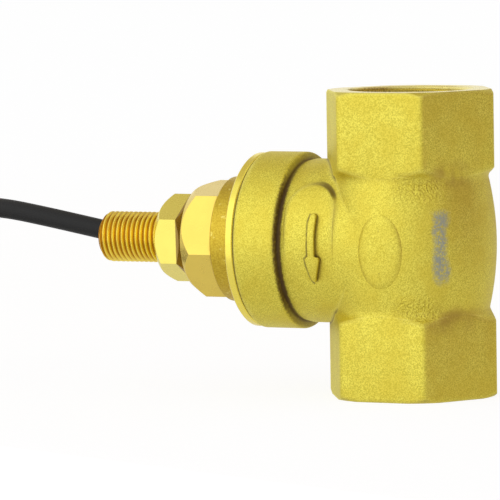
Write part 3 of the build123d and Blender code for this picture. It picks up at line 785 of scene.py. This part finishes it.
def cast_relief(tree, where, skin, machined):
    """The grit everywhere but on the machined faces, with coarser bumps in the rough patch."""
    bumps = fade(tree, noise(tree, where["Position"], 0.65 * MM), 0.3, 0.68)
    bumps = times(tree, bumps, rough_patch(tree, where))
    relief = math(tree, "ADD", skin["Height"], times(tree, bumps, 2.4))
    return times(tree, relief, math(tree, "SUBTRACT", 1.0, machined))


def shoulders(tree, where):
    """Where the hexagon ends meet the barrel."""
    level = math(tree, "ABSOLUTE", where["Height"])
    return between(tree, level, 14.5 * MM, 20.0 * MM, 1.5 * MM)


def neck_run_out(tree, where):
    """Where the neck runs out into the barrel, below the shoulder."""
    return times(tree, between(tree, where["Out"], 11.4 * MM, 14.4 * MM, 0.6 * MM),
                 fade(tree, where["Height"], 13.0 * MM, 10.5 * MM))


def machined_faces(tree, where):
    """The two end faces, the two threaded bores, and the bore and face of the branch."""
    level = math(tree, "ABSOLUTE", where["Height"])
    ends = fade(tree, level, AXIS_HEIGHT - 0.06 * MM, AXIS_HEIGHT - 0.02 * MM)
    bores = times(tree, fall(tree, where["Pipe Radius"], 16.8 * MM, 16.9 * MM),
                  fade(tree, level, 21.8 * MM, 22.0 * MM))
    seat = times(tree, fall(tree, where["Branch Radius"], 18.0 * MM, 18.1 * MM),
                 fade(tree, where["Out"], -0.2 * MM, 0.0))
    return highest(tree, ends, bores, seat)


def groove_dirt_and_shade(tree, where):
    """The dark ragged line in the undercut behind the collar: dirt in it, and painted shade on its step."""
    ragged = noise(tree, where["Position"], 0.8 * MM, 3.0)
    ragged = times(tree, math(tree, "SUBTRACT", ragged, 0.5), 0.9 * MM)
    line = between(tree, math(tree, "ADD", where["Out"], ragged), 27.2 * MM, 28.6 * MM, 0.35 * MM)
    level = math(tree, "ABSOLUTE", where["Height"])
    return times(tree, line, fade(tree, where["Branch Radius"], 17.5 * MM, 18.5 * MM),
                 fade(tree, level, 13 * MM, 22 * MM, 1.0, 0.45))


def arch_shade_line(tree, where):
    """Painted shade along the top and the right of the arched pad's raised edge: a dark line, gone further
    down.
    """
    aside = math(tree, "ADD", axes_of(tree, where["Position"])[0], PAD_OUT)
    above = math(tree, "SUBTRACT", where["Height"], PAD_ARCH_HEIGHT)
    radius = hypotenuse(tree, aside, above)
    line = between(tree, radius, PAD_ARCH_RADIUS - 0.2 * MM, PAD_ARCH_RADIUS + 0.55 * MM, 0.25 * MM)
    return times(tree, line, fade(tree, aside, -2.5 * MM, 3.5 * MM),
                 fade(tree, above, 2.6 * MM, 4.2 * MM), facing(tree, where))


def near_line(tree, across, up, start, end):
    """How far a point lies from a straight line between two places."""
    run, rise = end[0] - start[0], end[1] - start[1]
    aside = math(tree, "SUBTRACT", across, start[0])
    above = math(tree, "SUBTRACT", up, start[1])
    along = math(tree, "ADD", times(tree, aside, run), times(tree, above, rise))
    share = math(tree, "DIVIDE", along, run * run + rise * rise, clamp=True)
    return hypotenuse(tree, math(tree, "SUBTRACT", aside, times(tree, share, run)),
                      math(tree, "SUBTRACT", above, times(tree, share, rise)))


def arrow_foot_dirt_and_shade(tree, where):
    """The thin dark line that follows the arrow's left side down to its tip: part dirt, part painted shade
    at its foot.
    """
    across = axes_of(tree, where["Position"])[0]
    places = [(x * MM, z * MM) for x, z in ARROW_DIRT_AND_SHADE_LINE]
    nearest = reduce(lambda least, away: math(tree, "MINIMUM", away, least),
                     [near_line(tree, across, where["Height"], start, end)
                      for start, end in zip(places, places[1:])])
    worn = fade(tree, noise(tree, where["Position"], 1.2 * MM), 0.3, 0.5, 0.4, 1.0)
    return times(tree, fall(tree, nearest, 0.14 * MM, 0.36 * MM), worn, facing(tree, where))


def shoulder_stain(tree, where):
    """Brown tint where the hexagon ends meet the barrel, on the side away from the branch."""
    level = math(tree, "ABSOLUTE", where["Height"])
    patches = fade(tree, noise(tree, where["Position"], 4 * MM, 3.0), 0.3, 0.65)
    return times(tree, between(tree, level, 15.5 * MM, 21.0 * MM, 2.0 * MM),
                 between(tree, where["Out"], -18.5 * MM, -12.5 * MM, 2.5 * MM), patches, 0.48)


def rough_patch(tree, where):
    """Where the sand left coarser bumps: below and above the hexagons' front corners."""
    level = math(tree, "ABSOLUTE", where["Height"])
    return times(tree, between(tree, level, 12.0 * MM, 18.5 * MM, 3 * MM),
                 between(tree, where["Out"], -14 * MM, -3 * MM, 3 * MM))


def paint_smear(tree, where):
    """A soft upright smear of paint on the barrel's side."""
    x = axes_of(tree, where["Position"])[0]
    wobble = math(tree, "SUBTRACT", noise(tree, where["Position"], 5 * MM, 3.0), 0.5)
    wobble = times(tree, wobble, 3 * MM)
    across = between(tree, math(tree, "ADD", x, wobble), 13.4 * MM, 15.8 * MM, 0.8 * MM)
    along = between(tree, math(tree, "ADD", where["Height"], wobble), -8.5 * MM, 9.0 * MM, 1.6 * MM)
    worn = fade(tree, noise(tree, where["Position"], 0.7 * MM, 3.0, 0.7), 0.3, 0.6)
    return times(tree, across, along, facing(tree, where), worn)


TURNED_ROUGHNESS = 0.27
TURNED_EDGE = (252, 240, 150)
# Colour of the painted shade in corners and between parts
TURNED_CORNER_SHADE = (120, 84, 24)
# Colour of the painted shadow on the nut's face towards the bonnet
GAP_SHADE = (146, 106, 34)
RING_COLOUR = (244, 226, 100)
BAND_PITS = (186, 156, 48)
BAND_PEAKS = (208, 182, 64)
BAND_FLECKS = (236, 220, 120)


def turned_brass(name, colour, band=None, gap=None):
    """Machined brass with faint turning marks.

    Between the band's two places out it is left as cast, and between the gap's two it is darkened with
    painted shadow from the bonnet.
    """
    finish = Finish(name)
    tree = finish.tree
    where = finish.group(PLACE)
    edges = finish.group(EDGES, Radius=0.12 * MM)
    drift = noise(tree, where["Position"], 6 * MM)
    base = tint(tree, linear(*colour), drift, 0.35, darker(colour, 0.82))
    base = tint(tree, base, edges["Edge"], 0.4, TURNED_EDGE)
    # Painted shade in corners and between parts
    base = tint(tree, base, finish.group(CORNER_SHADE, Reach=1.6 * MM)["Corner Shade"], 0.75, TURNED_CORNER_SHADE)
    metal = 1.0
    if gap:
        # Painted shadow that the bonnet throws on the nut's face in the gap
        gap_shade = times(tree, between(tree, where["Out"], *gap, 0.15 * MM),
                      fade(tree, where["Branch Radius"], 9.0 * MM, 9.3 * MM))
        base = tint(tree, base, gap_shade, 0.85, GAP_SHADE)
        metal = math(tree, "SUBTRACT", 1.0, times(tree, gap_shade, 0.7))
    rough = math(tree, "ADD", TURNED_ROUGHNESS - 0.04, times(tree, drift, 0.08))
    relief = times(tree, finish.group(LATHE, Spacing=0.16 * MM)["Height"], 0.25)
    if band:
        skin = finish.group(GRAIN, Grain_Size=0.42 * MM)
        as_cast = times(tree, between(tree, where["Out"], *band, 0.06 * MM),
                        fall(tree, where["Branch Radius"], 16.3 * MM, 16.6 * MM))
        base = band_colour(tree, where, skin, base, band[0], as_cast)
        rough = math(tree, "ADD", rough, times(tree, as_cast, 0.15))
        relief = math(tree, "ADD", relief, times(tree, skin["Height"], as_cast, 6.0))
    return finish.set(Base_Color=base, Metallic=metal, Roughness=rough,
                      Normal=finish.bump(relief, 0.02 * MM, 0.8, edges["Normal"])).material


def band_colour(tree, where, skin, base, start, as_cast):
    """The bonnet's colour: a bright ring before the band's start, and the mottled band as cast."""
    ring = fall(tree, where["Out"], start - 0.15 * MM, start - 0.05 * MM)
    base = blend_colour(tree, ring, base, linear(*RING_COLOUR))
    mottle = blend_colour(tree, skin["Speckle"], linear(*BAND_PITS), linear(*BAND_PEAKS))
    flecks = fade(tree, noise(tree, where["Position"], 1.6 * MM), 0.6, 0.76)
    mottle = blend_colour(tree, flecks, mottle, linear(*BAND_FLECKS))
    return blend_colour(tree, as_cast, base, mottle)


STEM_VALLEY_SHADE = (186, 138, 44)
STEM_CREST = (252, 226, 90)
STEM_DRIFT = (214, 164, 52)


def stem_brass():
    """The sensor tube's orange gold, with painted shade darkening the thread's valleys."""
    finish = Finish("stem_brass")
    tree = finish.tree
    where = finish.group(PLACE)
    edges = finish.group(EDGES, Radius=0.08 * MM)
    # Painted shade in the thread's valleys
    crest = fade(tree, where["Branch Radius"], TUBE_RADIUS - 0.8 * MM, TUBE_RADIUS - 0.1 * MM)
    colour = blend_colour(tree, crest, linear(*STEM_VALLEY_SHADE), linear(*STEM_CREST))
    drift = fade(tree, noise(tree, where["Position"], 3 * MM, 3.0), 0.35, 0.75)
    colour = tint(tree, colour, drift, 0.3, STEM_DRIFT)
    rough = math(tree, "ADD", 0.26, times(tree, drift, 0.1))
    grit = noise(tree, where["Position"], 0.12 * MM)
    return finish.set(Base_Color=colour, Metallic=1.0, Roughness=rough,
                      Normal=finish.bump(grit, 0.01 * MM, 0.5, edges["Normal"])).material


def plain_metal(name, colour, roughness):
    finish = Finish(name)
    tree = finish.tree
    where = finish.group(PLACE)
    edges = finish.group(EDGES, Radius=0.1 * MM)
    drift = noise(tree, where["Position"], 2.5 * MM, 3.0)
    base = tint(tree, linear(*colour), drift, 0.4, darker(colour, 0.8))
    rough = math(tree, "ADD", roughness - 0.05, times(tree, drift, 0.1))
    fine = noise(tree, where["Position"], 0.15 * MM)
    return finish.set(Base_Color=base, Metallic=1.0, Roughness=rough,
                      Normal=finish.bump(fine, 0.008 * MM, 0.6, edges["Normal"])).material


def plain_soft(name, colour, roughness, grain=0.3 * MM, depth=0.03 * MM, gloss=0.5):
    """Rubber, plastic and resin: a dull skin with fine grain and slight dust in it."""
    finish = Finish(name)
    tree = finish.tree
    place = add(tree, "ShaderNodeTexCoord").outputs["Object"]
    dust = fade(tree, noise(tree, place, 4 * MM, 4.0, 0.6), 0.45, 0.8)
    base = tint(tree, linear(*colour), dust, 0.5, [min(255, value + 22) for value in colour])
    rough = math(tree, "ADD", roughness, times(tree, dust, 0.12))
    fine = noise(tree, place, grain, 3.0, 0.6)
    return finish.set(Base_Color=base, Roughness=rough, Specular_IOR_Level=gloss,
                      Normal=finish.bump(fine, depth, 0.5)).material


def switch_glass():
    finish = Finish("reed_glass")
    tree = finish.tree
    place = add(tree, "ShaderNodeTexCoord").outputs["Object"]
    colour = blend_colour(tree, noise(tree, place, 3 * MM), linear(214, 236, 220), linear(190, 226, 204))
    return finish.set(Base_Color=colour, Roughness=0.03, Transmission_Weight=0.9, IOR=1.5).material


def dress(piece, material):
    piece.data.materials.clear()
    piece.data.materials.append(material)


def dress_all():
    cast = cast_brass("cast_brass", 1.5 * MM, 2.8 * MM)
    cast_marks = cast_brass("cast_brass_marks", 0.3 * MM, 0.3 * MM)
    band = (SEAT_OUT + 2.1 * MM, SEAT_OUT + 9.3 * MM)
    turned = turned_brass("turned_brass", (238, 216, 108))
    steel = plain_metal("stainless", (196, 196, 190), 0.3)
    nickel = plain_metal("nickel", (206, 202, 190), 0.22)
    rubber = plain_soft("seal_rubber", (28, 28, 28), 0.6)
    jacket = plain_soft("cable_jacket", (13, 13, 13), 0.55, 0.5 * MM, 0.015 * MM, 0.35)
    brown = plain_soft("core_brown", (112, 62, 30), 0.45)
    blue = plain_soft("core_blue", (34, 78, 168), 0.45)
    reed_metal = plain_metal("reed_metal", (200, 190, 160), 0.25)
    finishes = {
        "bonnet": turned_brass("bonnet_brass", (234, 207, 98), band=band),
        "bonnet_gasket": plain_soft("gasket_fibre", (160, 150, 88), 0.8),
        "flow_piston": turned, "piston_seal": rubber, "seal_washer": steel, "seal_screw": steel,
        "magnet": nickel, "magnet_plug": turned, "return_spring": steel,
        "reed_glass": switch_glass(), "reed_blade_near": reed_metal, "reed_blade_far": reed_metal,
        "lead_sleeve": plain_soft("sleeve", (222, 222, 214), 0.5),
        "core_brown": brown, "core_blue": blue, "potting": plain_soft("resin", (18, 18, 20), 0.28),
        "tail_core_brown": brown, "tail_core_blue": blue,
        "ferrule_brown": plain_metal("ferrule_metal", (205, 205, 205), 0.3),
        "ferrule_blue": plain_metal("ferrule_metal_blue", (205, 205, 205), 0.3),
    }
    for node, material in finishes.items():
        dress(NODES[node], material)
    dress(make_threaded_body(), cast)
    dress(make_arrow(), cast_marks)
    dress(make_oval_pad(), cast_marks)
    dress(make_threaded_tube(), stem_brass())
    gap = (NUT_START - 0.2 * MM, NUT_START + 1.1 * MM)
    dress(make_nut(), turned_brass("nut_brass", (244, 228, 112), gap=gap))
    dress(make_cable(), jacket)
    dress(make_tie(), jacket)


# Floor, light and camera

FLOOR_SIZE = 24
FLOOR_SHADE = 0.86
FLOOR_GLOW = 1.12
FLOOR_GLOW_SEEN = 0.78
FLOOR_GLOW_MIRRORED = 0.5
WORLD_FILL = 0.62


def make_floor():
    """A pale floor that looks white to the camera and keeps the object's shadow."""
    floor = primitive("floor", bpy.ops.mesh.primitive_plane_add, size=FLOOR_SIZE)
    finish = Finish("floor_white")
    finish.set(Base_Color=(*[FLOOR_SHADE] * 3, 1), Roughness=0.9, Specular_IOR_Level=0.0)
    tree = finish.tree
    path = add(tree, "ShaderNodeLightPath").outputs
    mirrored = highest(tree, path["Is Glossy Ray"], path["Is Transmission Ray"])
    share = highest(tree, times(tree, path["Is Camera Ray"], FLOOR_GLOW_SEEN),
                    times(tree, mirrored, FLOOR_GLOW_MIRRORED))
    glow = add(tree, "ShaderNodeEmission", {"Color": (1, 1, 1, 1), "Strength": FLOOR_GLOW})
    mix = add(tree, "ShaderNodeMixShader", {0: share, 1: finish.shader.outputs[0], 2: glow.outputs[0]})
    tree.links.new(mix.outputs[0], tree.nodes["Material Output"].inputs["Surface"])
    dress(floor, finish.material)


def make_world():
    """White surroundings: in full to the camera and in mirrors, and dimmer as light."""
    world = bpy.data.worlds.new("studio")
    bpy.context.scene.world = world
    world.use_nodes = True
    tree = world.node_tree
    path = add(tree, "ShaderNodeLightPath").outputs
    seen = highest(tree, path["Is Camera Ray"], path["Is Glossy Ray"], path["Is Transmission Ray"])
    strength = add(tree, "ShaderNodeMapRange", {"Value": seen, "To Min": WORLD_FILL, "To Max": 1.0})
    background = tree.nodes["Background"]
    background.inputs["Color"].default_value = (1, 1, 1, 1)
    tree.links.new(strength.outputs["Result"], background.inputs["Strength"])


def make_lamp(name, place, target, size, power, colour):
    """A square soft light that looks at a target."""
    lamp = bpy.data.lights.new(name, "AREA")
    lamp.shape = "SQUARE"
    lamp.size = size
    lamp.energy = power
    lamp.color = colour
    held = bpy.data.objects.new(name, lamp)
    bpy.context.scene.collection.objects.link(held)
    held.location = place
    held.rotation_euler = (Vector(target) - Vector(place)).to_track_quat("-Z", "Y").to_euler()


def make_card(name, place, turn, size, shade):
    """A patch of other brightness that the metal mirrors and the camera doesn't see."""
    card = primitive(name, bpy.ops.mesh.primitive_plane_add, size=size, location=place, rotation=turn)
    finish = Finish(name).set(Base_Color=(0, 0, 0, 1), Roughness=1.0, Specular_IOR_Level=0.0,
                              Emission_Color=(*shade, 1), Emission_Strength=1.0)
    dress(card, finish.material)
    card.visible_camera = False


LIT_PLACE = (-0.03, 0, AXIS_HEIGHT)
# What the brass mirrors beside the white surroundings: place, turn, size and shade
CARDS = {
    "right_card": ((0.75, 0.15, 0.3), (0, pi / 2, 0), 1.2, (0.43, 0.30, 0.40)),
    "back_card": ((0.09, 1.0, 0.3), (pi / 2, 0, 0), 0.7, (0.52, 0.46, 0.43)),
    "top_card": ((-0.05, 0.28, 0.6), (radians(-20), 0, 0), 0.7, (0.60, 0.53, 0.42)),
    "front_card": ((-0.216, -0.33, 0.001), (0, 0, -CAMERA_AZIMUTH), 0.5, (1.3, 1.3, 1.3)),
}


def make_lights():
    make_lamp("key", (-0.89, -1.66, 0.76), LIT_PLACE, 2.2, 8.5, (1.0, 0.99, 0.96))
    for name, look in CARDS.items():
        make_card(name, *look)


def make_camera():
    """The camera, placed by its azimuth, elevation, roll and distance from the crossing of the axes."""
    forward = Vector((-sin(CAMERA_AZIMUTH) * cos(CAMERA_ELEVATION),
                      cos(CAMERA_AZIMUTH) * cos(CAMERA_ELEVATION), -sin(CAMERA_ELEVATION)))
    level = Vector((cos(CAMERA_AZIMUTH), sin(CAMERA_AZIMUTH), 0))
    upright = level.cross(forward)
    right = level * cos(CAMERA_ROLL) + upright * sin(CAMERA_ROLL)
    up = -level * sin(CAMERA_ROLL) + upright * cos(CAMERA_ROLL)
    place = Vector((0, 0, AXIS_HEIGHT)) - right * CAMERA_RIGHT - up * CAMERA_UP - forward * CAMERA_DISTANCE
    lens = bpy.data.cameras.new("camera")
    lens.lens = CAMERA_LENS
    lens.sensor_width = CAMERA_SENSOR
    lens.clip_start, lens.clip_end = CAMERA_SEES
    camera = bpy.data.objects.new("camera", lens)
    bpy.context.scene.collection.objects.link(camera)
    turn = Matrix((right, up, -forward)).transposed().to_4x4()
    camera.matrix_world = Matrix.Translation(place) @ turn
    bpy.context.scene.camera = camera


dress_all()
let_spring_give()
make_floor()
make_world()
make_lights()
make_camera()
bpy.context.scene.view_settings.view_transform = "Standard"
